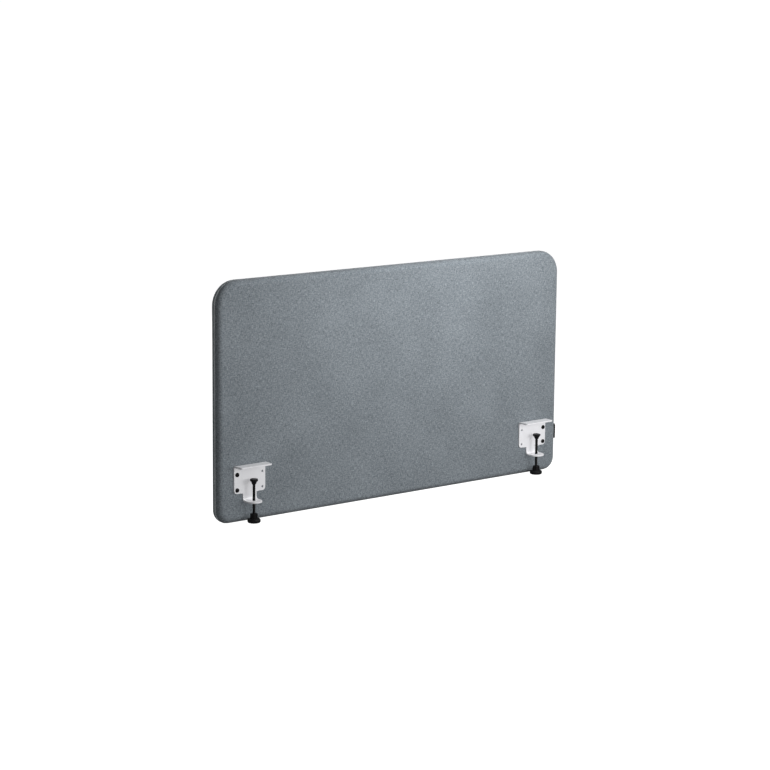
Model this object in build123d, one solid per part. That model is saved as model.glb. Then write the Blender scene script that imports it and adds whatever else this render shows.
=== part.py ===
"""Fabric desk privacy panel with two screw-clamp brackets.

A padded panel stands upright on its bottom edge: a timber frame round a sound-absorbing core,
wadding on both faces, and a fabric cover that closes with a zip round the edge. Two bent steel
brackets on the front carry M8 clamp screws that grip a desktop from below.

Millimetres. The origin is the centre of the panel's bottom edge: +X to the right, +Y to the back
of the panel, +Z up. The brackets are on the front, towards -Y.
"""

from build123d import *
import math
import os

# ---------------------------------------------------------------- panel
panel_length = 1200.0
panel_height = 650.0
panel_thickness = 40.0
edge_radius = 17.0
top_corner_radius = 66.0
bottom_corner_radius = 37.0
fabric = 1.0
foot_settle = 1.0
front_face = -panel_thickness / 2

# ---------------------------------------------------------------- frame and core
frame_inset = 12.0
frame_thickness = 28.0
stile_width = 80.0
rail_height = 45.0
core_clearance = 0.5
dowel_radius = 4.0
dowel_length = 40.0
dowel_offset = 10.0

# ---------------------------------------------------------------- zip
coil_half_width = 3.2
coil_outer_inset = 0.3
coil_inner_inset = 2.7
tape_thickness = 0.6
tape_edge = 12.8
cover_slot = 4.6
channel_half_width = 7.0
zip_start_angle = 60.0
zip_end_height = 108.0
coil_start_angle = 55.0
coil_end_height = 122.5
stop_inset = 0.1
start_stop_low_angle = 59.5
start_stop_high_angle = 55.3
end_stop_low = 112.5
end_stop_high = 115.6

slider_low = 116.0
slider_high = 131.0
slider_half_width = 5.5
slider_plate = 1.6
slider_corner = 2.5
outer_plate_gap = 0.4
inner_plate_inset = 4.8
post_low = 116.5
post_high = 121.5
post_half_width = 1.6
bridge_low = 118.0
bridge_leg = 2.6
bridge_top_offset = 9.5
bridge_top_thickness = 1.8
pull_axis_offset = 7.3
pull_axis_height = 125.5
pull_bar_radius = 1.3
pull_window_half_width = 2.6
pull_window_low = 113.5
pull_half_width = 7.0
pull_thickness = 3.2
pull_low = 88.0
pull_high = 129.5
pull_corner = 3.0
pull_rim_fillet = 0.8

# ---------------------------------------------------------------- bracket
bracket_x = 503.0
sheet = 4.0
bracket_width = 101.0
plate_front = front_face - sheet
seat_height = 152.5
shoulder_height = 79.5
top_flange_front = -57.0
lower_flange_low = 56.0
tongue_width = 44.0
plate_corner = 9.0
flange_corner = 5.0
top_bend = 3.0
lower_bend = 7.0
sheet_edge = 0.5
hole_spacing_x = 82.0
hole_spacing_z = 42.0
lower_hole_height = 89.5
screw_hole_radius = 3.3

# ---------------------------------------------------------------- M6 panel screws and inserts
m6_radius = 3.0
m6_length = 20.0
m6_head_radius = 6.0
m6_head_height = 3.3
m6_head_rim = 0.9
m6_socket_width = 4.0
m6_socket_depth = 1.9
insert_radius = 4.5
insert_length = 12.0

# ---------------------------------------------------------------- clamp screw, M8 x 1.25
clamp_y = -43.0
m8_radius = 4.0
m8_hole_radius = 4.05
rod_low = 6.0
rod_high = 103.6
neck_radius = 2.9
ball_radius = 4.2
ball_height = 109.0
socket_clearance = 0.1
socket_mouth_radius = 3.6
pad_top = 119.0
pad_radius = 10.8
pad_rim_height = 6.0
pad_rim_fillet = 1.0
pad_cone_top_radius = 8.4
pad_cone_low_radius = 5.2
pad_low = 104.5
knob_radius = 17.8
knob_flange_height = 11.0
knob_rim_fillet = 4.0
hub_radius = 10.3
hub_top = 24.5
hub_rim_fillet = 1.2
hub_cup_radius = 6.6
hub_cup_depth = 4.0
hub_notch_radius = 2.2
hub_notch_low = 13.0
hub_notches = 6
grip_scallops = 12
grip_scallop_radius = 5.0
grip_scallop_depth = 0.8


def block(x0, x1, y0, y1, z0, z1):
    """A box between two corners."""
    size = (x1 - x0, y1 - y0, z1 - z0)
    return Pos((x0 + x1) / 2, (y0 + y1) / 2, (z0 + z1) / 2) * Box(*size)


def panel_outline(inset, drop=0.0):
    """The panel's front view, drawn in from its edge by inset, as a face in the XZ plane."""
    half = panel_length / 2 - inset
    low = inset - drop
    high = panel_height - inset
    top = top_corner_radius - inset
    bottom = bottom_corner_radius - inset
    corners = [(half, low), (half, high), (-half, high), (-half, low)]
    rim = FilletPolyline(*corners, radius=[bottom, top, top, bottom], close=True)
    return Plane.XZ * make_face(rim)


def panel_plate(inset, half_width, drop=0.0):
    """The panel's outline, drawn in by inset, as a square-edged plate about the mid-plane."""
    return extrude(panel_outline(inset, drop), half_width, both=True)


def panel_slab(inset):
    """The padded panel's outer shape, drawn in on every side by inset, and pressed flat underneath."""
    half_width = panel_thickness / 2 - inset
    slab = panel_plate(inset, half_width, foot_settle)
    rims = slab.edges().filter_by(lambda e: abs(abs(e.center().Y) - half_width) < 0.01)
    slab = fillet(rims, edge_radius - inset)
    reach = panel_length
    return slab & block(-reach, reach, -reach, reach, inset, reach)


def edge_ring(outer_inset, inner_inset, half_width):
    """A band round the panel's edge, between two insets and within half_width of the mid-plane."""
    return panel_plate(outer_inset, half_width) - panel_plate(inner_inset, half_width + 1)


def zip_window(start_angle, end_height):
    """Where the zip runs: up the left edge from the bottom corner, over the top and down the right."""
    reach = panel_length / 4
    corner_x = bottom_corner_radius - panel_length / 2
    corner_z = bottom_corner_radius
    start = math.radians(start_angle)
    outside = (corner_x - reach * math.cos(start), corner_z - reach * math.sin(start))
    far = panel_length
    points = [(corner_x, corner_z), outside, (-far, outside[1]), (-far, far), (far, far)]
    points += [(far, end_height), (0, end_height), (0, corner_z)]
    face = Plane.XZ * make_face(Polyline(*points, close=True))
    return extrude(face, panel_thickness, both=True)


def side(front):
    """Half of space, in front of the mid-plane or behind it, as a block larger than the panel."""
    reach = panel_length
    return block(-reach, reach, -reach if front else 0, 0 if front else reach, -reach, reach)


def band(y0, y1):
    """The part of space with Y between two values."""
    reach = panel_length
    return block(-reach, reach, min(y0, y1), max(y0, y1), -reach, reach)


def screw_places(bracket_side):
    """X and Z of the two screws that hold a bracket: the column of holes nearer the panel's end."""
    x = bracket_side * (bracket_x + hole_spacing_x / 2)
    return [(x, lower_hole_height), (x, lower_hole_height + hole_spacing_z)]


def rod_along_y(x, z, radius, y0, y1):
    """A round bar along Y."""
    bar = Rot(90, 0, 0) * Cylinder(radius, abs(y1 - y0))
    return Pos(x, (y0 + y1) / 2, z) * bar


def screw_holes(radius, y0, y1):
    """Bars through all four panel screws, to cut their holes."""
    places = screw_places(-1) + screw_places(1)
    return [rod_along_y(x, z, radius, y0, y1) for x, z in places]


def dowels():
    """Two dowels in each of the frame's four corner joints."""
    joint_x = panel_length / 2 - frame_inset - stile_width
    rails = [frame_inset + rail_height / 2, panel_height - frame_inset - rail_height / 2]
    pins = []
    for x in (-joint_x, joint_x):
        for middle in rails:
            for z in (middle - dowel_offset, middle + dowel_offset):
                pins.append(Pos(x, 0, z) * (Rot(0, 90, 0) * Cylinder(dowel_radius, dowel_length)))
    return pins


def frame_outline():
    """A plate as thick as the frame, in the frame's outline."""
    return panel_plate(frame_inset, frame_thickness / 2)


def frame_stile(x_side):
    """An upright board, rounded at its outer corners, with the bracket screws' insert holes."""
    outer = panel_length / 2
    inner = outer - frame_inset - stile_width
    span = (inner, outer) if x_side > 0 else (-outer, -inner)
    board = frame_outline() & block(*span, -outer, outer, 0, panel_height)
    for hole in screw_holes(insert_radius, -frame_thickness / 2 - 1, insert_length - frame_thickness / 2):
        board -= hole
    for pin in dowels():
        board -= pin
    return board


def frame_rail(top):
    """A board between the stiles, along the top or the bottom."""
    half = panel_length / 2 - frame_inset - stile_width
    low = panel_height - frame_inset - rail_height if top else frame_inset
    board = block(-half, half, -frame_thickness / 2, frame_thickness / 2, low, low + rail_height)
    for pin in dowels():
        board -= pin
    return board


def core_board():
    """The sound-absorbing board inside the frame."""
    half = panel_length / 2 - frame_inset - stile_width - core_clearance
    low = frame_inset + rail_height + core_clearance
    high = panel_height - low
    return block(-half, half, -frame_thickness / 2, frame_thickness / 2, low, high)


def tape(front):
    """One of the zip's two tapes, sewn inside the cover's edge."""
    shell = panel_slab(fabric) - panel_slab(fabric + tape_thickness)
    sign = -1 if front else 1
    strip = shell & band(sign * coil_half_width, sign * tape_edge)
    return strip & zip_window(zip_start_angle, zip_end_height)


def coil(front):
    """One half of the closed chain of coil teeth, as a plain band."""
    ring = edge_ring(coil_outer_inset, coil_inner_inset, coil_half_width)
    return (ring & side(front)) & zip_window(coil_start_angle, coil_end_height)


def wadding(front):
    """Padding over one face of the frame and round its edge, with a channel for the zip."""
    pad = (panel_slab(fabric) & side(front)) - frame_outline()
    channel = edge_ring(0, frame_inset, channel_half_width)
    pad -= channel & zip_window(zip_start_angle, zip_end_height)
    pad -= tape(front)
    if front:
        for hole in screw_holes(screw_hole_radius, front_face - 1, 0):
            pad -= hole
    return pad


def cover(front):
    """One half of the fabric cover: a face and half of the edge, open along the zip."""
    shell = (panel_slab(0) & side(front)) - panel_slab(fabric)
    slot = edge_ring(-1, 3 * fabric, cover_slot)
    shell -= slot & zip_window(zip_start_angle, zip_end_height)
    if front:
        for hole in screw_holes(screw_hole_radius, front_face - 1, 0):
            shell -= hole
    return shell


def zip_stops():
    """The blocks that end the chain: one at its start and one under the parked slider."""
    ring = edge_ring(stop_inset, coil_inner_inset, coil_half_width)
    start = ring & zip_window(start_stop_low_angle, coil_end_height)
    start -= zip_window(start_stop_high_angle, 0)
    outer = panel_length / 2
    end = ring & block(0, outer, -outer, outer, end_stop_low, end_stop_high)
    return [start, end]


def zip_slider():
    """Two plates either side of the chain, joined by a post, with a bridge for the pull."""
    edge = panel_length / 2
    outer = edge + outer_plate_gap
    inner = edge - inner_plate_inset
    w = slider_half_width
    body = block(outer, outer + slider_plate, -w, w, slider_low, slider_high)
    body = fillet(body.edges().filter_by(Axis.X), slider_corner)
    inside = block(inner, inner + slider_plate, -w, w, slider_low, slider_high)
    body += fillet(inside.edges().filter_by(Axis.X), slider_corner)
    p = post_half_width
    body += block(inner + slider_plate, outer, -p, p, post_low, post_high)
    top = edge + bridge_top_offset
    plate_top = outer + slider_plate
    body += block(plate_top, top, -p, p, bridge_low, bridge_low + bridge_leg)
    body += block(plate_top, top, -p, p, slider_high - bridge_leg, slider_high)
    body += block(top, top + bridge_top_thickness, -p, p, bridge_low, slider_high)
    return body


def zip_pull():
    """The tab that hangs from the slider: a slot at its top clears the bridge, and a bar crosses under it."""
    x = panel_length / 2 + pull_axis_offset
    w = pull_window_half_width
    t = pull_thickness / 2
    tab = block(x - t, x + t, -pull_half_width, pull_half_width, pull_low, pull_high)
    tab = fillet(tab.edges().filter_by(Axis.X), pull_corner)
    tab = fillet(tab.edges().filter_by(Axis.X, reverse=True), pull_rim_fillet)
    tab -= block(x - t - 1, x + t + 1, -w, w, pull_window_low, pull_high + 1)
    return tab + rod_along_y(x, pull_axis_height, pull_bar_radius, -w - 1, w + 1)


def bracket_blank():
    """The bent strip seen from the side: top flange, plate and lower flange, at full width."""
    middle = plate_front + sheet / 2
    top = seat_height + sheet / 2
    low = lower_flange_low + sheet / 2
    low_front = clamp_y - tongue_width / 2
    bend = FilletPolyline(
        (top_flange_front, top),
        (middle, top),
        (middle, low),
        (low_front, low),
        radius=[top_bend + sheet / 2, lower_bend + sheet / 2],
    )
    profile = trace(bend, line_width=sheet)
    return extrude(Plane.YZ * profile, bracket_width / 2, both=True)


def bracket_front_view():
    """The plate's front view with its rounded shoulders and the tongue below."""
    w = bracket_width / 2
    t = tongue_width / 2
    high = seat_height + 2 * sheet
    low = lower_flange_low - sheet
    left = FilletPolyline(
        (-w, high), (-w, shoulder_height), (-t, shoulder_height), (-t, low), radius=plate_corner
    )
    right = FilletPolyline(
        (t, low), (t, shoulder_height), (w, shoulder_height), (w, high), radius=plate_corner
    )
    rim = [left, Line((-t, low), (t, low)), right, Line((w, high), (-w, high))]
    face = Plane.XZ * make_face(rim)
    return extrude(face, panel_length / 4, both=True)


def flange_plan(low_z, high_z):
    """A block with the top flange's plan: rounded at its two front corners."""
    w = bracket_width / 2
    body = block(-w, w, top_flange_front, front_face + 1, low_z, high_z)
    tips = body.edges().filter_by(Axis.Z).sort_by(Axis.Y)[:2]
    return fillet(tips, flange_corner)


def bracket_plans():
    """The plans of both flanges and of the plate, one above the other."""
    middle = (seat_height + lower_flange_low) / 2
    low = lower_flange_low - sheet
    w = bracket_width / 2
    t = tongue_width / 2
    tongue = block(-t, t, clamp_y, front_face + 1, low, middle)
    tongue += Pos(0, clamp_y, (low + middle) / 2) * Cylinder(t, middle - low)
    plate = block(-w, w, plate_front, front_face + 1, shoulder_height - 1, middle)
    return flange_plan(middle, seat_height + 2 * sheet) + tongue + plate


def bracket():
    """A bracket about X = 0: a plate with four screw holes, a seat flange and a threaded flange."""
    body = bracket_blank() & bracket_front_view() & bracket_plans()
    body = fillet(body.edges().filter_by(is_sheet_edge), sheet_edge)
    for x in (-hole_spacing_x / 2, hole_spacing_x / 2):
        for z in (lower_hole_height, lower_hole_height + hole_spacing_z):
            body -= rod_along_y(x, z, screw_hole_radius, plate_front - 1, front_face + 1)
    body -= Pos(0, clamp_y, lower_flange_low) * Cylinder(m8_hole_radius, 3 * sheet)
    return body


def is_sheet_edge(edge):
    """The rims of the sheet's outer skin: every edge but the short ones through its thickness."""
    return edge.length > sheet + 0.01


def panel_screw():
    """An M6 low-headed screw along +Y, with its seat at Y = 0."""
    dome = Rot(90, 0, 0) * Cylinder(m6_head_radius, m6_head_height)
    dome = Pos(0, -m6_head_height / 2, 0) * dome
    crown = dome.edges().sort_by(Axis.Y)[0]
    head = fillet(crown, m6_head_height - m6_head_rim)
    socket = extrude(RegularPolygon(m6_socket_width / 2, 6, major_radius=False), m6_socket_depth)
    head -= Pos(0, m6_socket_depth - m6_head_height, 0) * (Rot(90, 0, 0) * socket)
    return head + rod_along_y(0, 0, m6_radius, 0, m6_length)


def panel_screws(x_side):
    """The two screws that hold one bracket."""
    return [Pos(x, plate_front, z) * panel_screw() for x, z in screw_places(x_side)]


def inserts(x_side):
    """Threaded sleeves in the stile."""
    y0 = -frame_thickness / 2
    y1 = y0 + insert_length
    sleeves = []
    for x, z in screw_places(x_side):
        sleeve = rod_along_y(x, z, insert_radius, y0, y1)
        sleeves.append(sleeve - rod_along_y(x, z, m6_radius, y0 - 1, y1 + 1))
    return sleeves


def upright(radius, low, high):
    """A round bar along Z on the clamp screw's axis, about X = 0."""
    return Pos(0, clamp_y, (low + high) / 2) * Cylinder(radius, high - low)


def clamp_screw():
    """The M8 screw with a ball on a neck at its top end, about X = 0."""
    rod = upright(m8_radius, rod_low, rod_high)
    rod += upright(neck_radius, rod_high, ball_height)
    return rod + Pos(0, clamp_y, ball_height) * Sphere(ball_radius)


def clamp_pad():
    """The swivel pad that snaps over the screw's ball, about X = 0."""
    rim_low = pad_top - pad_rim_height
    disc = upright(pad_radius, rim_low, pad_top)
    disc = fillet(disc.edges(), pad_rim_fillet)
    cone_height = rim_low - pad_low
    cone = Cone(pad_cone_low_radius, pad_cone_top_radius, cone_height)
    body = disc + Pos(0, clamp_y, pad_low + cone_height / 2) * cone
    body -= Pos(0, clamp_y, ball_height) * Sphere(ball_radius + socket_clearance)
    return body - upright(socket_mouth_radius, pad_low - 1, ball_height)


def clamp_knob():
    """The hand knob under the desk: a scalloped grip flange and a notched hub with a cupped top."""
    grip = upright(knob_radius, 0, knob_flange_height)
    reach = knob_radius + grip_scallop_radius - grip_scallop_depth
    for turn in range(grip_scallops):
        angle = math.radians(360 / grip_scallops * turn)
        place = Pos(reach * math.cos(angle), reach * math.sin(angle), 0)
        grip -= place * upright(grip_scallop_radius, -1, knob_flange_height + 1)
    grip &= knob_envelope()
    hub = upright(hub_radius, knob_flange_height - 1, hub_top)
    hub = fillet(hub.edges().sort_by(Axis.Z)[-1], hub_rim_fillet)
    for turn in range(hub_notches):
        angle = math.radians(360 / hub_notches * (turn + 0.5))
        place = Pos(hub_radius * math.cos(angle), hub_radius * math.sin(angle), 0)
        hub -= place * upright(hub_notch_radius, hub_notch_low, hub_top + 1)
    hub -= upright(hub_cup_radius, hub_top - hub_cup_depth, hub_top + 1)
    return grip + hub - upright(m8_radius, rod_low, hub_top + 1)


def knob_envelope():
    """The grip flange's round-edged disc."""
    disc = upright(knob_radius, 0, knob_flange_height)
    return fillet(disc.edges(), knob_rim_fillet)


def at_bracket(shape, x_side):
    """A shape drawn about X = 0, moved to the left or right bracket's place."""
    return Pos(x_side * bracket_x, 0, 0) * shape


def build_nodes():
    """Every sub-part by its node name."""
    nodes = {
        "frame_stile_left": frame_stile(-1),
        "frame_stile_right": frame_stile(1),
        "frame_rail_top": frame_rail(True),
        "frame_rail_bottom": frame_rail(False),
        "corner_dowels": dowels(),
        "core_board": core_board(),
        "wadding_front": wadding(True),
        "wadding_back": wadding(False),
        "cover_front": cover(True),
        "cover_back": cover(False),
        "zip_tape_front": tape(True),
        "zip_tape_back": tape(False),
        "zip_coil_front": coil(True),
        "zip_coil_back": coil(False),
        "zip_stops": zip_stops(),
        "zip_slider": zip_slider(),
        "zip_pull": zip_pull(),
    }
    for name, x_side in (("left", -1), ("right", 1)):
        nodes[f"bracket_{name}"] = at_bracket(bracket(), x_side)
        nodes[f"panel_screws_{name}"] = panel_screws(x_side)
        nodes[f"threaded_inserts_{name}"] = inserts(x_side)
        nodes[f"clamp_screw_{name}"] = at_bracket(clamp_screw(), x_side)
        nodes[f"clamp_pad_{name}"] = at_bracket(clamp_pad(), x_side)
        nodes[f"clamp_knob_{name}"] = at_bracket(clamp_knob(), x_side)
    return nodes


def main():
    os.makedirs("parts", exist_ok=True)
    for name, shape in build_nodes().items():
        solids = shape if isinstance(shape, list) else [shape]
        pieces = [solid for group in solids for solid in group.solids()]
        body = pieces[0] if len(pieces) == 1 else Compound(children=pieces)
        export_step(body, f"parts/{name}.step")


main()
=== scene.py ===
import math

import bpy
import numpy as np
from mathutils import Matrix, Vector


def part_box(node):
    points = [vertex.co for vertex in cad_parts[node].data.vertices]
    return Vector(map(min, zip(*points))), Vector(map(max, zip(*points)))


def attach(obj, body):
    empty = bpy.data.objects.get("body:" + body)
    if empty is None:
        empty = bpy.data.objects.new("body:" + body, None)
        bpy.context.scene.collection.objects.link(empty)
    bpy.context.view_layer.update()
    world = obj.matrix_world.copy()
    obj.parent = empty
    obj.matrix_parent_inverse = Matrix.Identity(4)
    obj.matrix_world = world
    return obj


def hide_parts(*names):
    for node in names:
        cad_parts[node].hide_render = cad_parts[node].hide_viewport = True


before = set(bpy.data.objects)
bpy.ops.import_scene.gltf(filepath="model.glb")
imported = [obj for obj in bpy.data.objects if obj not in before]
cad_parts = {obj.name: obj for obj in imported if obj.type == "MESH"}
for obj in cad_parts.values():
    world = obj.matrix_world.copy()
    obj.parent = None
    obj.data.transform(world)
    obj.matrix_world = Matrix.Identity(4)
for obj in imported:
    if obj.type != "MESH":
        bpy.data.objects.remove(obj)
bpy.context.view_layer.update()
MM = 0.001

# The panel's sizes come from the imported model; the radii repeat the CAD's driving dimensions.
front_low, front_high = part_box("cover_front")
HALF = front_high.x
TOP = front_high.z
DEEP = -front_low.y
EDGE_R = 17 * MM
TOP_R = 66 * MM
BOTTOM_R = 37 * MM
SETTLE = 1 * MM
ZIP_START = math.radians(60)
ZIP_END = 108 * MM
COIL_START = math.radians(55)
COIL_END = 122.5 * MM
CLAMP_Y = -43 * MM

# Columns and rows of the grids for the covers' and waddings' faces.
COVER_GRID = (236, 126)
WADDING_GRID = (118, 63)
# Rows of vertices round the cover's edge, and round its turned-in hem.
EDGE_ROWS, HEM_ROWS = 22, 4
CLOTH = 0.8 * MM
TAPE = 0.5 * MM
# How far the zip's opening takes to close at either end, and how far the tape runs on past it.
ZIP_RAMP = 9 * MM
TAPE_SPARE = 9.5 * MM
# Depth of the wadding's skin under the cover's, and of the frame's edge and face under the rim.
SKIN_IN = 1.35 * MM
FRAME_IN, FRAME_Y = 11.9 * MM, 14.1 * MM
COVER_SEEDS = {True: 11, False: 47}
WADDING_SEEDS = {True: 91, False: 92}


# ---------------------------------------------------------------- the panel's rim
def rim_runs(radius_low, radius_top, inset, low):
    """The rim as straight runs and corner arcs from the bottom's middle, clockwise seen from the front."""
    half, high = HALF - inset, TOP - inset
    rb, rt = max(radius_low - inset, 0.0), max(radius_top - inset, 0.0)
    q = math.pi / 2
    return [
        ("line", (0, low), (-half + rb, low), (0, -1)),
        ("arc", (-half + rb, low + rb), rb, -q, -2 * q),
        ("line", (-half, low + rb), (-half, high - rt), (-1, 0)),
        ("arc", (-half + rt, high - rt), rt, -2 * q, -3 * q),
        ("line", (-half + rt, high), (half - rt, high), (0, 1)),
        ("arc", (half - rt, high - rt), rt, q, 0),
        ("line", (half, high - rt), (half, low + rb), (1, 0)),
        ("arc", (half - rb, low + rb), rb, 0, -q),
        ("line", (half - rb, low), (0, low), (0, -1)),
    ]


RIM = rim_runs(BOTTOM_R, TOP_R, 0.0, -SETTLE)


def run_length(run, inset):
    """The run's length, measured inset in from the rim."""
    if run[0] == "line":
        return math.dist(run[1], run[2])
    return (run[2] - inset) * abs(run[4] - run[3])


def on_rim(run, t):
    """A point of the outer rim and the rim's outward direction there."""
    if run[0] == "line":
        a, b = np.array(run[1]), np.array(run[2])
        return a + (b - a) * t, np.array(run[3], float)
    angle = run[3] + (run[4] - run[3]) * t
    n = np.array([math.cos(angle), math.sin(angle)])
    return np.array(run[1]) + n * run[2], n


def stations(parts, count, inset=EDGE_R):
    """count + 1 points spaced evenly along parts of the rim. A part is (run index, first t, last t)."""
    spans = [(RIM[i], a, b, run_length(RIM[i], inset) * abs(b - a)) for i, a, b in parts]
    total = sum(s[3] for s in spans)
    points, normals = [], []
    for k in range(count + 1):
        at = total * k / count
        for run, a, b, long in spans:
            if at <= long + 1e-12 or run is spans[-1][0]:
                p, n = on_rim(run, a + (b - a) * min(at / long, 1.0))
                break
            at -= long
        points.append(p)
        normals.append(n)
    return np.array(points), np.array(normals)


def four_sides(nx, nz):
    """The rim in four sides that meet in the middle of the corner arcs: bottom, right, top and left."""
    bottom = stations([(1, 0.5, 0), (0, 1, 0), (8, 1, 0), (7, 1, 0.5)], nx)
    right = stations([(7, 0.5, 0), (6, 1, 0), (5, 1, 0.5)], nz)
    top = stations([(3, 0.5, 1), (4, 0, 1), (5, 0, 0.5)], nx)
    left = stations([(1, 0.5, 1), (2, 0, 1), (3, 0, 0.5)], nz)
    return bottom, right, top, left


def loop_of(sides):
    """One closed loop of stations: along the bottom, up the right, back along the top and down the left."""
    (bp, bn), (rp, rn), (tp, tn), (lp, ln) = sides
    points = np.concatenate([bp[:-1], rp[:-1], tp[:0:-1], lp[:0:-1]])
    normals = np.concatenate([bn[:-1], rn[:-1], tn[:0:-1], ln[:0:-1]])
    return points, normals


def filled_grid(loop, nx, nz):
    """Points of an (nx + 1) by (nz + 1) grid whose border is the loop, by a Coons patch."""
    bottom = loop[: nx + 1]
    right = loop[nx : nx + nz + 1]
    top = loop[nx + nz : 2 * nx + nz + 1][::-1]
    left = np.concatenate([loop[2 * nx + nz :], loop[:1]])[::-1]
    s = np.linspace(0, 1, nx + 1)[:, None, None]
    t = np.linspace(0, 1, nz + 1)[None, :, None]
    flat = (1 - t) * bottom[:, None] + t * top[:, None] + (1 - s) * left[None] + s * right[None]
    corners = (1 - s) * (1 - t) * bottom[0] + s * (1 - t) * bottom[-1]
    corners = corners + (1 - s) * t * top[0] + s * t * top[-1]
    return flat - corners


def grid_faces(nx, nz, first=0):
    """Quads of a grid stored column by column from vertex number first."""
    i, j = np.meshgrid(np.arange(nx), np.arange(nz), indexing="ij")
    a = first + i * (nz + 1) + j
    return np.stack([a, a + nz + 1, a + nz + 2, a + 1], -1).reshape(-1, 4)


def grid_border(nx, nz, first=0):
    """Vertex numbers of the grid's border, in the loop's order."""
    at = lambda i, j: first + i * (nz + 1) + j
    ring = [at(i, 0) for i in range(nx)] + [at(nx, j) for j in range(nz)]
    ring += [at(i, nz) for i in range(nx, 0, -1)] + [at(0, j) for j in range(nz, 0, -1)]
    return np.array(ring)


def smooth_noise(x, z, wave, seed, terms=9):
    """Soft noise from -1 to 1 with features about wave metres across."""
    rng = np.random.default_rng(seed)
    total = np.zeros_like(x)
    for _ in range(terms):
        angle, size = rng.uniform(0, math.pi), rng.uniform(0.7, 1.5)
        k = 2 * math.pi / (wave * size)
        total += np.sin(k * (x * math.cos(angle) + z * math.sin(angle)) + rng.uniform(0, 2 * math.pi))
    return total / math.sqrt(terms / 2) / 2


def step_up(x):
    """A soft step from 0 to 1 as x goes from 0 to 1."""
    x = np.clip(x, 0, 1)
    return x * x * (3 - 2 * x)


def zip_share(points, normals, start, end):
    """1 where the zip runs and 0 where the cover is closed, with short ramps between."""
    angle = np.arctan2(-normals[:, 1], -normals[:, 0])
    left = (points[:, 0] < 0) & (normals[:, 1] < -0.01)
    share = np.ones(len(points))
    share[left] = 1 - step_up((angle[left] - start) * BOTTOM_R / ZIP_RAMP)
    right = (points[:, 0] > 0) & (normals[:, 1] < 0.01)
    share[right] = step_up((points[right, 1] - end + ZIP_RAMP) / ZIP_RAMP)
    bottom = normals[:, 1] < -0.999
    share[bottom] = 0
    return share


# ---------------------------------------------------------------- node materials
def new_material(name):
    m = bpy.data.materials.new(name)
    m.use_nodes = True
    m.node_tree.nodes.clear()
    return m, m.node_tree


def add(tree, kind, inputs=None, **settings):
    """A node with its settings made and its inputs set or linked."""
    node = tree.nodes.new(kind)
    for key, value in settings.items():
        setattr(node, key, value)
    for key, value in (inputs or {}).items():
        socket = node.inputs[key]
        if isinstance(value, bpy.types.NodeSocket):
            tree.links.new(value, socket)
        else:
            socket.default_value = value
    return node


def calc(tree, operation, a, b=0.0, c=0.0, clamp=False):
    return add(tree, "ShaderNodeMath", {0: a, 1: b, 2: c}, operation=operation, use_clamp=clamp).outputs[0]


def ramp(tree, value, stops):
    """A colour from a value, by stops of (position, colour)."""
    node = add(tree, "ShaderNodeValToRGB", {"Fac": value})
    elements = node.color_ramp.elements
    while len(elements) < len(stops):
        elements.new(0.5)
    for element, (at, colour) in zip(elements, stops):
        element.position = at
        element.color = (*colour, 1.0)
    return node.outputs["Color"]


def noise(tree, vector, scale, detail=3.0, roughness=0.55, distortion=0.0):
    inputs = {"Vector": vector, "Scale": scale, "Detail": detail}
    inputs.update({"Roughness": roughness, "Distortion": distortion})
    return add(tree, "ShaderNodeTexNoise", inputs).outputs["Fac"]


def shader(tree, colour, roughness, height=None, bump_depth=0.0, bump_strength=1.0, **constants):
    """The Principled shader and the output, with bump from height."""
    node = tree.nodes.new("ShaderNodeBsdfPrincipled")
    tree.links.new(colour, node.inputs["Base Color"])
    if isinstance(roughness, bpy.types.NodeSocket):
        tree.links.new(roughness, node.inputs["Roughness"])
    else:
        node.inputs["Roughness"].default_value = roughness
    for key, value in constants.items():
        node.inputs[key.replace("_", " ")].default_value = value
    if height is not None:
        inputs = {"Height": height, "Distance": bump_depth, "Strength": bump_strength}
        bump = add(tree, "ShaderNodeBump", inputs)
        tree.links.new(bump.outputs["Normal"], node.inputs["Normal"])
    out = tree.nodes.new("ShaderNodeOutputMaterial")
    tree.links.new(node.outputs[0], out.inputs["Surface"])


def scaled(tree, vector, sizes):
    return add(tree, "ShaderNodeVectorMath", {0: vector, 1: sizes}, operation="MULTIPLY").outputs[0]


def weave_height(tree, uv, pitch, wobble):
    """Plain weave: warp and weft yarns that pass over each other, as a height from 0 to 1."""
    warp = add(tree, "ShaderNodeTexNoise", {"Vector": uv, "Scale": 1 / (6 * pitch), "Detail": 2.0})
    shift = add(tree, "ShaderNodeVectorMath", {0: warp.outputs["Color"], 1: (0.5,) * 3}, operation="SUBTRACT")
    push = scaled(tree, shift.outputs[0], (wobble * pitch,) * 3)
    moved = add(tree, "ShaderNodeVectorMath", {0: uv, 1: push}, operation="ADD").outputs[0]
    split = add(tree, "ShaderNodeSeparateXYZ", {"Vector": scaled(tree, moved, (math.pi / pitch,) * 3)})
    yarn_u = calc(tree, "ABSOLUTE", calc(tree, "SINE", split.outputs["X"]))
    yarn_v = calc(tree, "ABSOLUTE", calc(tree, "SINE", split.outputs["Y"]))
    cu = calc(tree, "COSINE", split.outputs["X"])
    cv = calc(tree, "COSINE", split.outputs["Y"])
    over = calc(tree, "MULTIPLY_ADD", calc(tree, "MULTIPLY", cu, cv), 0.5, 0.5)
    under = calc(tree, "SUBTRACT", 1.0, over)
    a = calc(tree, "MULTIPLY", yarn_u, over)
    b = calc(tree, "MULTIPLY", yarn_v, under)
    return calc(tree, "ADD", a, b)


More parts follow.
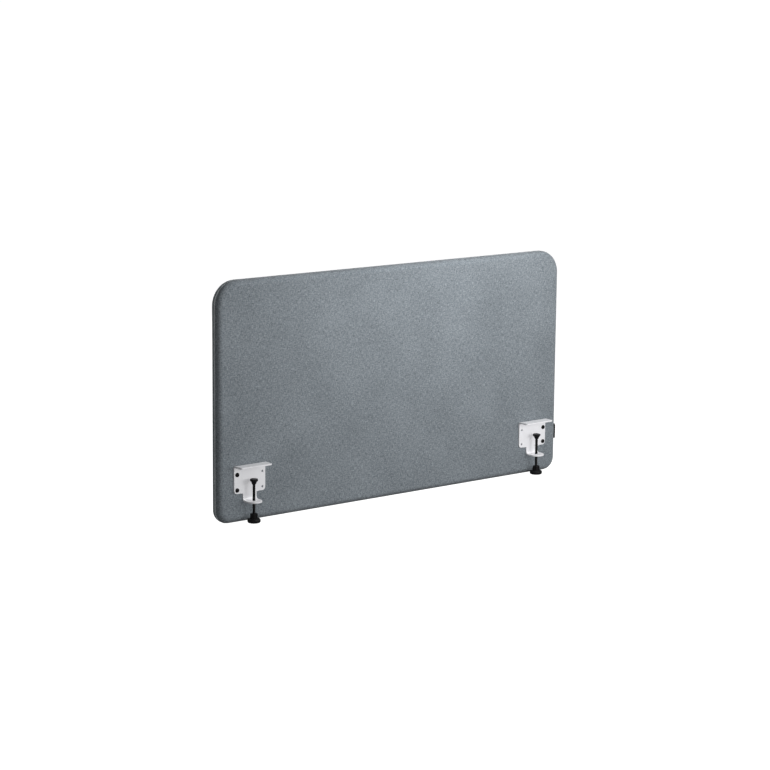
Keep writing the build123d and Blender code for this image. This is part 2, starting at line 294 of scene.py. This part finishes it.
def cloth_material(name, dark, mid, light, pitch, mottle, depth):
    """Woven cloth in metres of its own UV map: yarns, slubs, two-tone fibres and soft wide shading."""
    m, tree = new_material(name)
    uv = add(tree, "ShaderNodeUVMap", uv_map="cloth").outputs["UV"]
    weave = weave_height(tree, uv, pitch, 0.9)
    slub_u = noise(tree, scaled(tree, uv, (1.0, 0.16, 1.0)), 1 / (1.6 * pitch), 3.0, 0.6)
    slub_v = noise(tree, scaled(tree, uv, (0.16, 1.0, 1.0)), 1 / (1.6 * pitch), 3.0, 0.6)
    grain = noise(tree, uv, 1 / (3.4 * pitch), 4.0, 0.68, 0.4)
    fibre = noise(tree, uv, 1 / (0.35 * pitch), 4.0, 0.7)
    wide = noise(tree, uv, 7.0, 2.0, 0.5)
    mixed = calc(tree, "MULTIPLY_ADD", calc(tree, "SUBTRACT", slub_u, 0.5), 0.9, 0.5)
    mixed = calc(tree, "MULTIPLY_ADD", calc(tree, "SUBTRACT", slub_v, 0.5), 0.9, mixed)
    mixed = calc(tree, "MULTIPLY_ADD", calc(tree, "SUBTRACT", grain, 0.5), mottle, mixed)
    mixed = calc(tree, "MULTIPLY_ADD", calc(tree, "SUBTRACT", weave, 0.5), 0.35, mixed)
    mixed = calc(tree, "MULTIPLY_ADD", calc(tree, "SUBTRACT", fibre, 0.5), 0.5, mixed)
    mixed = calc(tree, "MULTIPLY_ADD", calc(tree, "SUBTRACT", wide, 0.5), 0.25, mixed)
    colour = ramp(tree, mixed, [(0.05, dark), (0.5, mid), (0.95, light)])
    height = calc(tree, "MULTIPLY_ADD", fibre, 0.35, weave)
    height = calc(tree, "MULTIPLY_ADD", grain, 0.9, height)
    shader(
        tree, colour, 0.92, height, depth, 0.7,
        Sheen_Weight=0.10, Sheen_Roughness=0.4, Specular_IOR_Level=0.15,
    )
    return m


def plain_material(name, base, vary, rough, scale, depth, bump_scale=None, **constants):
    """Moulded or coated stuff: slightly uneven colour and gloss and a fine surface texture."""
    m, tree = new_material(name)
    place = add(tree, "ShaderNodeTexCoord").outputs["Object"]
    patch = noise(tree, place, scale, 3.0, 0.6)
    speck = noise(tree, place, bump_scale or 9 * scale, 3.0, 0.6)
    low = tuple(c * (1 - vary) for c in base)
    high = tuple(min(1.0, c * (1 + vary)) for c in base)
    both = calc(tree, "MULTIPLY_ADD", calc(tree, "SUBTRACT", speck, 0.5), 0.6, patch)
    colour = ramp(tree, both, [(0.25, low), (0.75, high)])
    gloss = calc(tree, "MULTIPLY_ADD", calc(tree, "SUBTRACT", patch, 0.5), rough[1], rough[0])
    shader(tree, colour, gloss, speck, depth, 0.8, **constants)
    return m


def wood_material(name, light, dark, along):
    """Planed softwood with grain running along one axis."""
    m, tree = new_material(name)
    place = add(tree, "ShaderNodeTexCoord").outputs["Object"]
    stretch = [16.0, 16.0, 16.0]
    stretch["XYZ".index(along)] = 1.0
    grain = noise(tree, scaled(tree, place, stretch), 9.0, 5.0, 0.6, 0.8)
    pore = noise(tree, scaled(tree, place, [6 * s for s in stretch]), 12.0, 3.0, 0.7)
    rings = calc(tree, "FRACT", calc(tree, "MULTIPLY", grain, 7.0))
    tone = calc(tree, "MULTIPLY_ADD", rings, 0.55, calc(tree, "MULTIPLY", pore, 0.45))
    colour = ramp(tree, tone, [(0.1, light), (0.8, dark)])
    shader(tree, colour, 0.62, pore, 0.15 * MM, 0.6)
    return m


def fibre_material(name, base, vary, scale, depth):
    """Matted fibres: wadding or pressed felt."""
    m, tree = new_material(name)
    place = add(tree, "ShaderNodeTexCoord").outputs["Object"]
    strands = noise(tree, place, scale, 6.0, 0.75, 2.5)
    clumps = noise(tree, place, scale / 12, 3.0, 0.6)
    tone = calc(tree, "MULTIPLY_ADD", calc(tree, "SUBTRACT", clumps, 0.5), 0.7, strands)
    low = tuple(c * (1 - vary) for c in base)
    colour = ramp(tree, tone, [(0.3, low), (0.7, base)])
    shader(tree, colour, 0.95, strands, depth, 1.0, Sheen_Weight=0.3, Sheen_Roughness=0.6)
    return m


FABRIC_DARK = (0.042, 0.0488, 0.054)
FABRIC_MID = (0.1300, 0.1476, 0.1622)
FABRIC_LIGHT = (0.252, 0.279, 0.300)
cloth = cloth_material("upholstery_cloth", FABRIC_DARK, FABRIC_MID, FABRIC_LIGHT, 1.15 * MM, 1.1, 0.32 * MM)
TAPE_DARK, TAPE_MID, TAPE_LIGHT = (0.015, 0.018, 0.020), (0.042, 0.049, 0.053), (0.09, 0.10, 0.105)
tape_cloth = cloth_material("zip_tape_cloth", TAPE_DARK, TAPE_MID, TAPE_LIGHT, 0.7 * MM, 0.4, 0.15 * MM)
coil_nylon = plain_material("coil_nylon", (0.36, 0.385, 0.40), 0.12, (0.42, 0.12), 160.0, 0.03 * MM)
powder_coat = plain_material(
    "powder_coat", (0.61, 0.61, 0.627), 0.02, (0.40, 0.10), 60.0, 0.05 * MM, 1400.0, Specular_IOR_Level=0.5
)
black_oxide = plain_material(
    "black_oxide", (0.004, 0.004, 0.0043), 0.35, (0.52, 0.15), 300.0, 0.02 * MM, 3500.0,
    Specular_IOR_Level=0.1,
)
black_plastic = plain_material(
    "black_plastic", (0.0055, 0.0055, 0.006), 0.2, (0.5, 0.12), 120.0, 0.06 * MM, 2600.0,
    Specular_IOR_Level=0.14,
)
pull_rubber = plain_material(
    "pull_rubber", (0.004, 0.004, 0.0043), 0.2, (0.62, 0.12), 180.0, 0.05 * MM, 2600.0,
    Specular_IOR_Level=0.08,
)
black_lacquer = plain_material(
    "black_lacquer", (0.008, 0.008, 0.0085), 0.25, (0.5, 0.15), 220.0, 0.02 * MM, 3000.0,
    Specular_IOR_Level=0.2,
)
zinc = plain_material(
    "zinc_plate", (0.60, 0.58, 0.53), 0.1, (0.34, 0.2), 250.0, 0.02 * MM, 2500.0, Metallic=1.0
)
pine_x = wood_material("pine_rail", (0.66, 0.47, 0.28), (0.45, 0.28, 0.14), "X")
pine_z = wood_material("pine_stile", (0.66, 0.47, 0.28), (0.45, 0.28, 0.14), "Z")
beech = wood_material("beech_dowel", (0.70, 0.50, 0.33), (0.55, 0.36, 0.21), "X")
felt = fibre_material("pressed_felt", (0.50, 0.51, 0.51), 0.35, 700.0, 0.3 * MM)
wadding_white = fibre_material("wadding_fibre", (0.80, 0.80, 0.78), 0.2, 420.0, 0.5 * MM)


# ---------------------------------------------------------------- pieces
def paint(obj, material):
    """Gives an object one material."""
    obj.data.materials.clear()
    obj.data.materials.append(material)


def mesh_piece(name, points, faces, body, material, uv=None):
    """A new mesh object that rides on a body."""
    mesh = bpy.data.meshes.new(name)
    mesh.from_pydata([tuple(p) for p in points], [], [tuple(int(v) for v in f) for f in faces])
    if uv is not None:
        layer = mesh.uv_layers.new(name="cloth")
        at = np.zeros(len(mesh.loops), np.int32)
        mesh.loops.foreach_get("vertex_index", at)
        layer.data.foreach_set("uv", np.asarray(uv, np.float32)[at].ravel())
    mesh.polygons.foreach_set("use_smooth", [True] * len(mesh.polygons))
    mesh.update()
    obj = bpy.data.objects.new(name, mesh)
    bpy.context.scene.collection.objects.link(obj)
    paint(obj, material)
    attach(obj, body)
    return obj


def solidify(obj, thickness, offset):
    """Gives a sheet its thickness by a modifier."""
    shell = obj.modifiers.new("thickness", "SOLIDIFY")
    shell.thickness = thickness
    shell.offset = offset
    shell.use_even_offset = False
    return obj


# The folds under the top edge near the left corner: X, Z, half length, half width and depth.
FOLDS = [
    (-0.441, 0.6435, 15 * MM, 2.6 * MM, 1.5 * MM),
    (-0.398, 0.6440, 17 * MM, 2.4 * MM, 1.1 * MM),
    (-0.335, 0.6425, 24 * MM, 2.6 * MM, 0.7 * MM),
]


def face_relief(x, z, seed):
    """How far the stretched cloth lies under its highest skin: hollows of a fraction of a millimetre."""
    soft = 0.5 + 0.5 * smooth_noise(x, z, 0.16, seed)
    fine = 0.5 + 0.5 * smooth_noise(x, z, 0.045, seed + 1)
    return np.clip(0.55 * MM * soft + 0.12 * MM * fine, 0, None)


def press_folds(points):
    """Presses the front's folds into the cloth, or into the padding under it."""
    for x, z, long, wide, deep in FOLDS:
        sway = z + 1.6 * MM * np.sin((points[:, 0] - x) / long * 1.3)
        fold = np.exp(-(((points[:, 0] - x) / long) ** 2) - ((points[:, 2] - sway) / wide) ** 2)
        fold = fold * (points[:, 1] < -6 * MM)
        points[:, 1] += deep * fold
        points[:, 2] -= 0.5 * deep * fold


def profile(s):
    """Distances in from the rim and from the mid-plane, at length s out from the face's flat part."""
    arc = EDGE_R * math.pi / 2
    on_arc = np.minimum(s, arc) / EDGE_R
    inset = EDGE_R - EDGE_R * np.sin(on_arc)
    away = (DEEP - EDGE_R) + EDGE_R * np.cos(on_arc) - np.maximum(s - arc, 0)
    return inset, away


def cover(front):
    """One half of the cover: the face, the rounded edge and the turned-in hem along the zip or the seam."""
    nx, nz = COVER_GRID
    rim, normal = loop_of(four_sides(nx, nz))
    border = rim - normal * EDGE_R
    face = filled_grid(border, nx, nz).reshape(-1, 2)
    ring = grid_border(nx, nz)
    share = zip_share(rim, normal, ZIP_START, ZIP_END)
    seed = COVER_SEEDS[front]
    arc = EDGE_R * math.pi / 2
    open_end = EDGE_R * math.acos((5.3 * MM - (DEEP - EDGE_R)) / EDGE_R)
    closed_end = arc + (DEEP - EDGE_R) - 0.45 * MM
    end = open_end * share + closed_end * (1 - share)
    roll = 0.9 * MM * share + 0.42 * MM * (1 - share)

    along = np.concatenate([[0], np.cumsum(np.linalg.norm(np.diff(rim, axis=0), axis=1))])
    pucker = np.sin(along / (11 * MM) * math.pi + 2.4 * smooth_noise(along, along * 0, 0.09, seed + 5))
    gather = np.abs(normal[:, 0] * normal[:, 1]) * 2
    points = [np.column_stack([face[:, 0], np.full(len(face), -DEEP), face[:, 1]])]
    uvs = [face]
    rings = [ring]
    count = len(face)
    for k in range(1, EDGE_ROWS + HEM_ROWS + 2):
        s = end * min(k / EDGE_ROWS, 1.0)
        inset, away = profile(s)
        out_xy = rim - normal * inset[:, None]
        theta = np.minimum(s, arc) / EDGE_R
        tangent = np.stack([np.cos(theta), np.sin(theta)], 1)
        skin = np.stack([np.sin(theta), np.cos(theta)], 1)
        if k > EDGE_ROWS:
            phi = math.pi / 2 * min((k - EDGE_ROWS) / HEM_ROWS, 1.0)
            step_t = roll * math.sin(phi)
            step_n = roll * (1 - math.cos(phi)) + (0.9 * MM if k > EDGE_ROWS + HEM_ROWS else 0.0)
            out_xy = out_xy + normal * (tangent[:, :1] * step_t[:, None] - skin[:, :1] * step_n[:, None])
            away = away - tangent[:, 1] * step_t - skin[:, 1] * step_n
        near = step_up(1 - (end - s) / (9 * MM)) if k <= EDGE_ROWS else np.ones(len(s))
        depth = near * (0.10 * MM + 0.10 * MM * pucker) * (0.25 + 0.75 * share)
        depth = depth + near * gather * share * 0.16 * MM * (1 + np.sin(along / (4.2 * MM) * math.pi))
        depth = depth + face_relief(border[:, 0], border[:, 1], seed) * (1 - step_up(s / (12 * MM)))
        out_xy = out_xy - normal * (skin[:, :1] * depth[:, None])
        away = away - skin[:, 1] * depth
        points.append(np.column_stack([out_xy[:, 0], -away, out_xy[:, 1]]))
        uvs.append(border + normal * (s + max(0.0, k - EDGE_ROWS) * 0.3 * MM)[:, None])
        rings.append(np.arange(count, count + len(rim)))
        count += len(rim)
    points = np.concatenate(points)
    points[: len(face), 1] += face_relief(face[:, 0], face[:, 1], seed)
    if front:
        press_folds(points)
    points[:, 2] = np.maximum(points[:, 2], 0.0)
    quads = [grid_faces(nx, nz)]
    for inner, outer in zip(rings, rings[1:]):
        quads.append(np.stack([outer, np.roll(outer, -1), np.roll(inner, -1), inner], -1))
    faces = np.concatenate(quads)
    if not front:
        points[:, 1] *= -1
        faces = faces[:, ::-1]
    name = "cover_cloth_front" if front else "cover_cloth_back"
    obj = mesh_piece(name, points, faces, "panel", cloth, np.concatenate(uvs))
    return solidify(obj, CLOTH, -1.0)


def declared_cover(front):
    """The cover's half as a stretched sheet, cut to reach round the edge to the middle."""
    obj = cover(front)
    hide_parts("cover_front" if front else "cover_back")


def wadding(front):
    """The padding under one cover: a closed form over the frame's face and round its edge."""
    nx, nz = WADDING_GRID
    rim, normal = loop_of(four_sides(nx, nz))
    share = zip_share(rim, normal, ZIP_START, ZIP_END)
    border = rim - normal * EDGE_R
    face = filled_grid(border, nx, nz).reshape(-1, 2)
    tufts = 1 + smooth_noise(face[:, 0], face[:, 1], 0.03, WADDING_SEEDS[front])
    relief = face_relief(face[:, 0], face[:, 1], COVER_SEEDS[front]) + 0.15 * MM * tufts
    points = [np.column_stack([face[:, 0], -(DEEP - SKIN_IN) + relief, face[:, 1]])]
    rings = [grid_border(nx, nz)]
    count = len(face)
    radius = EDGE_R - SKIN_IN
    mid = 7.2 * MM * share + 0.1 * MM * (1 - share)
    past = mid - (DEEP - EDGE_R)
    stop = np.where(past > 0, np.arccos(np.clip(past / radius, 0, 1)), math.pi / 2)
    bead = 0.3 * MM * np.sin(np.arange(len(rim)) * 0.9) + 0.3 * MM
    shape = []
    for k in range(1, 11):
        theta = stop * k / 10
        shape.append((EDGE_R - radius * np.sin(theta), DEEP - EDGE_R + radius * np.cos(theta)))
    shape.append((shape[-1][0], np.minimum(shape[-1][1], mid)))
    shape.append((np.full(len(rim), FRAME_IN), mid))
    shape.append((np.full(len(rim), FRAME_IN), np.full(len(rim), FRAME_Y)))
    for inset, away in shape:
        lumps = bead * (away > FRAME_Y)
        spot = rim - normal * (inset + lumps)[:, None]
        points.append(np.column_stack([spot[:, 0], -away, spot[:, 1]]))
        rings.append(np.arange(count, count + len(rim)))
        count += len(rim)
    skin_count = len(face) + 10 * len(rim)
    floor_grid = filled_grid(rim - normal * FRAME_IN, nx, nz).reshape(-1, 2)
    border_at = grid_border(nx, nz)
    inside = np.full(len(floor_grid), -1)
    inside[border_at] = rings[-1]
    loose = np.flatnonzero(inside < 0)
    inside[loose] = count + np.arange(len(loose))
    bottom = floor_grid[loose]
    points.append(np.column_stack([bottom[:, 0], np.full(len(loose), -FRAME_Y), bottom[:, 1]]))
    points = np.concatenate(points)
    if front:
        press_folds(points[:skin_count])
    points[:, 2] = np.maximum(points[:, 2], SKIN_IN)
    quads = [grid_faces(nx, nz)]
    for inner, outer in zip(rings, rings[1:]):
        quads.append(np.stack([outer, np.roll(outer, -1), np.roll(inner, -1), inner], -1))
    quads.append(inside[grid_faces(nx, nz)][:, ::-1])
    faces = np.concatenate(quads)
    if not front:
        points[:, 1] *= -1
        faces = faces[:, ::-1]
    name = "wadding_pad_front" if front else "wadding_pad_back"
    obj = mesh_piece(name, points, faces, "panel", wadding_white)
    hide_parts("wadding_front" if front else "wadding_back")


def zip_path(step, start, end):
    """Points, outward directions and length of the zip, from the lower left corner to the right-hand end."""
    first = (math.pi / 2 - start) / (math.pi / 2)
    parts = [(1, first, 1), (2, 0, 1), (3, 0, 1), (4, 0, 1), (5, 0, 1)]
    run = RIM[6]
    parts.append((6, 0, (run[1][1] - end) / (run[1][1] - run[2][1])))
    long = sum(run_length(RIM[i], 0.0) * abs(b - a) for i, a, b in parts)
    count = max(2, int(round(long / step)))
    return (*stations(parts, count, 0.0), long)


def zip_tape(front):
    """A tape that lies under its half of the chain and rises to be sewn inside the cover's hem."""
    rim, normal, long = zip_path(5 * MM, ZIP_START + TAPE_SPARE / BOTTOM_R, ZIP_END - TAPE_SPARE)
    # Distances from the mid-plane, and how much deeper than the hem the tape lies there.
    ways = np.array([0.35, 1.6, 2.9, 3.3, 3.6, 4.2, 5.2, 6.6, 8.2, 9.8, 11.3, 12.8]) * MM
    dips = np.array([1.75, 1.75, 1.75, 0.9, 0, 0, 0, 0, 0, 0, 0, 0]) * MM
    points, uvs = [], []
    along = np.linspace(0, long, len(rim))
    radius = EDGE_R - 1.3 * MM
    insets = EDGE_R + dips - np.sqrt(radius**2 - np.maximum(ways - (DEEP - EDGE_R), 0.0) ** 2)
    for away, inset in zip(ways, insets):
        spot = rim - normal * inset
        points.append(np.column_stack([spot[:, 0], np.full(len(rim), -away), spot[:, 1]]))
        uvs.append(np.column_stack([along, np.full(len(rim), away)]))
    n = len(rim)
    faces = []
    for k in range(len(ways) - 1):
        a = np.arange(k * n, k * n + n - 1)
        faces.append(np.stack([a, a + 1, a + n + 1, a + n], -1))
    points, faces = np.concatenate(points), np.concatenate(faces)
    if not front:
        points[:, 1] *= -1
        faces = faces[:, ::-1]
    name = "zip_tape_cloth_front" if front else "zip_tape_cloth_back"
    obj = mesh_piece(name, points, faces, "panel", tape_cloth, np.concatenate(uvs))
    solidify(obj, TAPE, 0.0)
    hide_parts("zip_tape_front" if front else "zip_tape_back")


def zip_coil(front):
    """Half of the closed chain: one nylon filament in flattened loops that hook over the other half's."""
    pitch, turn_steps, round_steps = 2.4 * MM, 12, 6
    wire = 0.45 * MM
    rim, normal, long = zip_path(pitch / turn_steps, COIL_START, COIL_END)
    n = len(rim)
    phase = 2 * math.pi * np.arange(n) / turn_steps + (0 if front else math.pi)
    squash = np.sign(np.cos(phase)) * np.abs(np.cos(phase)) ** 0.8
    y = -1.25 * MM + 1.5 * MM * squash
    inset = 1.5 * MM - 0.72 * MM * np.sin(phase)
    centre = np.column_stack([rim[:, 0] - normal[:, 0] * inset, y, rim[:, 1] - normal[:, 1] * inset])
    tangent = np.gradient(centre, axis=0)
    tangent /= np.linalg.norm(tangent, axis=1)[:, None]
    outward = np.column_stack([normal[:, 0], np.zeros(n), normal[:, 1]])
    side_way = np.cross(tangent, outward)
    side_way /= np.linalg.norm(side_way, axis=1)[:, None]
    up_way = np.cross(side_way, tangent)
    rings = []
    for k in range(round_steps):
        a = 2 * math.pi * k / round_steps
        rings.append(centre + wire * (math.cos(a) * side_way + math.sin(a) * up_way))
    points = np.stack(rings, 1).reshape(-1, 3)
    i, k = np.meshgrid(np.arange(n - 1), np.arange(round_steps), indexing="ij")
    k2 = (k + 1) % round_steps
    here, there = i * round_steps, (i + 1) * round_steps
    quads = np.stack([here + k, here + k2, there + k2, there + k], -1)
    faces = [tuple(q) for q in quads.reshape(-1, 4)]
    faces.append(tuple(range(round_steps))[::-1])
    faces.append(tuple((n - 1) * round_steps + k for k in range(round_steps)))
    if not front:
        points[:, 1] *= -1
        faces = [f[::-1] for f in faces]
    name = "zip_coil_loops_front" if front else "zip_coil_loops_back"
    obj = mesh_piece(name, points, faces, "panel", coil_nylon)
    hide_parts("zip_coil_front" if front else "zip_coil_back")


def lathe(profile_rz, steps):
    """Vertices and faces of a closed turned form about Z, from its (radius, height) profile."""
    points, faces = [], []
    for r, z in profile_rz:
        for k in range(steps):
            a = 2 * math.pi * k / steps
            points.append((r * math.cos(a), r * math.sin(a), z))
    for row in range(len(profile_rz) - 1):
        for k in range(steps):
            a, b = row * steps + k, row * steps + (k + 1) % steps
            faces.append((a, b, b + steps, a + steps))
    faces.append(tuple(range(steps))[::-1])
    faces.append(tuple((len(profile_rz) - 1) * steps + k for k in range(steps)))
    return points, faces


def threaded_screw(side):
    """The M8 clamp screw with its real thread, and the ball on its neck."""
    low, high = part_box(f"clamp_screw_{side}")
    centre_x = (low.x + high.x) / 2
    z0, z1, pitch, steps = low.z, 103.6 * MM, 1.25 * MM, 24
    crest, root = 3.97 * MM, 3.24 * MM
    shape = [(0.0, root), (0.14, root), (0.44, crest), (0.58, crest), (0.88, root)]
    turns = int(math.ceil((z1 - z0) / pitch)) + 1
    count = turns * steps
    points, faces = [], []
    for j in range(count + steps + 1):
        t = j / steps
        a = 2 * math.pi * t
        for part, r in shape:
            z = z0 + pitch * (t - 1 + part)
            run_out = 1.2 * pitch
            fade = min(1.0, max(0.0, (z1 - z) / run_out), max(0.0, (z - z0) / run_out))
            reach = root + (r - root) * fade
            points.append((reach * math.cos(a), reach * math.sin(a), min(max(z, z0), z1)))
    per = len(shape)
    for j in range(count + steps):
        for q in range(per - 1):
            a = j * per + q
            faces.append((a, a + per, a + per + 1, a + 1))
        if j < count:
            a = j * per + per - 1
            b = (j + steps) * per
            faces.append((a, a + per, b + per, b))
    ball_z, ball_r = 109 * MM, 4.2 * MM
    core = root - 0.04 * MM
    neck = [(0.3 * MM, 0.0), (core, 0.0), (core, z1 - z0), (2.9 * MM, z1 - z0 + 0.4 * MM)]
    start = math.acos(-0.7)
    for k in range(15):
        angle = start * (1 - k / 14)
        neck.append((max(ball_r * math.sin(angle), 0.15 * MM), ball_z - z0 + ball_r * math.cos(angle)))
    base = len(points)
    more, more_faces = lathe([(r, z + z0) for r, z in neck], 32)
    points += more
    faces += [tuple(v + base for v in f) for f in more_faces]
    points = [(x + centre_x, y + CLAMP_Y, z) for x, y, z in points]
    obj = mesh_piece(f"clamp_thread_{side}", points, faces, f"{side}_screw", black_oxide)
    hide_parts(f"clamp_screw_{side}")


for is_front in (True, False):
    wadding(is_front)
    declared_cover(is_front)
    zip_tape(is_front)
    zip_coil(is_front)
for which in ("left", "right"):
    threaded_screw(which)
    paint(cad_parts[f"bracket_{which}"], powder_coat)
    paint(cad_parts[f"panel_screws_{which}"], black_oxide)
    paint(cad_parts[f"threaded_inserts_{which}"], zinc)
    paint(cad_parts[f"clamp_pad_{which}"], black_plastic)
    paint(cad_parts[f"clamp_knob_{which}"], black_plastic)
    paint(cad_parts[f"frame_stile_{which}"], pine_z)
for node, material in (
    ("frame_rail_top", pine_x),
    ("frame_rail_bottom", pine_x),
    ("corner_dowels", beech),
    ("core_board", felt),
    ("zip_stops", black_lacquer),
    ("zip_slider", black_lacquer),
    ("zip_pull", pull_rubber),
):
    paint(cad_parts[node], material)


# ---------------------------------------------------------------- floor, light and camera
FLOOR_GLOW = 0.93


def floor_material():
    """A pale paper floor that glows enough to read as white."""
    m, tree = new_material("studio_floor")
    place = add(tree, "ShaderNodeTexCoord").outputs["Object"]
    cloud = noise(tree, place, 1.5, 2.0, 0.5)
    colour = ramp(tree, cloud, [(0.3, (0.30, 0.30, 0.30)), (0.7, (0.32, 0.32, 0.32))])
    shader(
        tree, colour, 0.9, cloud, 0.2 * MM, 0.2,
        Specular_IOR_Level=0.1, Emission_Color=(1, 1, 1, 1), Emission_Strength=FLOOR_GLOW,
    )
    return m


def studio():
    """The floor, which lights neither the object nor its reflections."""
    mesh = bpy.data.meshes.new("studio_floor")
    reach = 90.0
    corners = [(-reach, -reach, 0), (reach, -reach, 0), (reach, reach, 0), (-reach, reach, 0)]
    mesh.from_pydata(corners, [], [(0, 1, 2, 3)])
    floor = bpy.data.objects.new("studio_floor", mesh)
    bpy.context.scene.collection.objects.link(floor)
    floor.data.materials.append(floor_material())
    floor.visible_diffuse = False
    floor.visible_glossy = False


def softbox(name, place, target, size, power, shadows=True):
    """A rectangular light that shines from place towards target."""
    light = bpy.data.lights.new(name, "AREA")
    light.shape = "RECTANGLE"
    light.size, light.size_y = size
    light.energy = power
    light.use_shadow = shadows
    obj = bpy.data.objects.new(name, light)
    bpy.context.scene.collection.objects.link(obj)
    obj.visible_camera = False
    obj.location = place
    obj.rotation_euler = (Vector(target) - Vector(place)).to_track_quat("-Z", "Y").to_euler()


def world_light(walls, below):
    """The studio's air: pale walls, brightest at the front right, a dimmer ceiling and a dim floor."""
    world = bpy.data.worlds.new("studio_air")
    bpy.context.scene.world = world
    world.use_nodes = True
    tree = world.node_tree
    way = add(tree, "ShaderNodeTexCoord").outputs["Generated"]
    split = add(tree, "ShaderNodeSeparateXYZ", {"Vector": way})
    across = calc(tree, "MULTIPLY_ADD", split.outputs["X"], 0.23, 0.52)
    around = calc(tree, "MULTIPLY_ADD", split.outputs["Y"], -0.38, across)
    ceiling = calc(tree, "MULTIPLY_ADD", split.outputs["Z"], -0.75, 1.0)
    wall = calc(tree, "MULTIPLY", calc(tree, "MULTIPLY", around, ceiling), walls)
    level = calc(tree, "MULTIPLY_ADD", split.outputs["Z"], 5.0, 0.5, clamp=True)
    strength = calc(tree, "MULTIPLY_ADD", level, calc(tree, "SUBTRACT", wall, below), below)
    back = tree.nodes["Background"]
    back.inputs["Color"].default_value = (1, 1, 1, 1)
    tree.links.new(strength, back.inputs["Strength"])


def camera():
    """The photograph's view: azimuth, elevation and roll about the panel's middle."""
    azimuth, elevation, roll = math.radians(-38.35), math.radians(10.48), math.radians(0.51)
    level = math.cos(elevation)
    back = Vector((math.sin(azimuth) * level, -math.cos(azimuth) * level, math.sin(elevation)))
    right = Vector((0, 0, 1)).cross(back).normalized()
    up = back.cross(right)
    right, up = (
        math.cos(roll) * right + math.sin(roll) * up,
        math.cos(roll) * up - math.sin(roll) * right,
    )
    place = Vector((0, 0, TOP / 2)) + back * 6.54821 - right * 0.02229 - up * 0.01297
    data = bpy.data.cameras.new("photo_view")
    data.sensor_width = 36.0
    data.lens = 110.01
    data.clip_end = 400
    obj = bpy.data.objects.new("photo_view", data)
    bpy.context.scene.collection.objects.link(obj)
    axes = Matrix((right, up, back)).transposed()
    obj.matrix_world = Matrix.Translation(place) @ axes.to_4x4()
    bpy.context.scene.camera = obj


studio()
world_light(1.18, 0.22)
softbox("key_low_right", (1.4, -2.9, 0.85), (0.0, 0, 0.3), (1.2, 1.0), 28.0)
softbox("key_high_right", (0.25, -0.95, 1.12), (0.2, 0, 0.4), (0.4, 0.4), 19.0, shadows=False)
softbox("rim_back_left", (-0.4, 2.2, 1.9), (0, 0, 0.5), (1.2, 0.8), 22.0)
softbox("fill_back", (0.9, 3.0, 0.9), (0, 0, 0.3), (1.6, 1.2), 16.0)
camera()
bpy.context.scene.view_settings.view_transform = "Standard"
